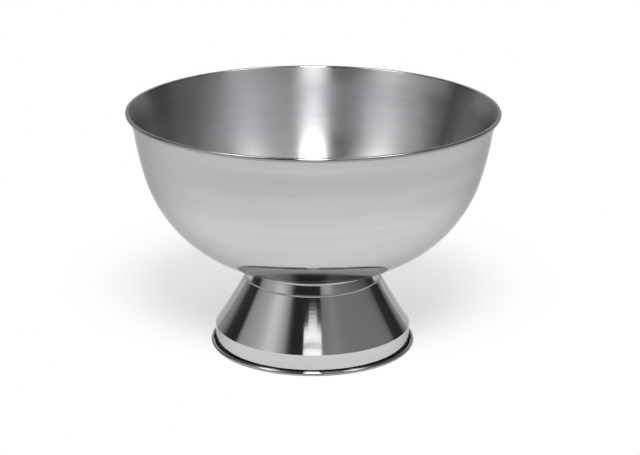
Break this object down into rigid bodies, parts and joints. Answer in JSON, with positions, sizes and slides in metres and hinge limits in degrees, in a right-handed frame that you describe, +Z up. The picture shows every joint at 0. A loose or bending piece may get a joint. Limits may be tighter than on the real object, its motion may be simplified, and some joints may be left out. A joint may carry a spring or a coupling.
{
  "type": "punch bowl",
  "caption": "Round stainless punch bowl with a curled rim, standing on a flared pedestal foot fixed by a hidden stud.",
  "frame": {"origin": "centre of the circle on which the foot stands, on the surface under it", "axes": "+Z up along the axis of the bowl and foot; X and Y are any two level directions, because the part is round"},
  "size_m": [0.38, 0.38, 0.2504],
  "materials": {
    "bowl_steel": "stainless steel, mirror polished outside and satin brushed round the inside",
    "foot_steel": "stainless steel, mirror polished",
    "disc_steel": "stainless steel, dull, as rolled",
    "fixing_steel": "stainless steel, plain machined"
  },
  "bodies": {
    "root": {"bowl_shell": "bowl_steel", "foot_shell": "foot_steel", "mounting_disc": "disc_steel", "weld_stud": "fixing_steel", "backing_washer": "fixing_steel", "spring_washer": "fixing_steel", "hex_nut": "fixing_steel"}
  },
  "joints": []
}
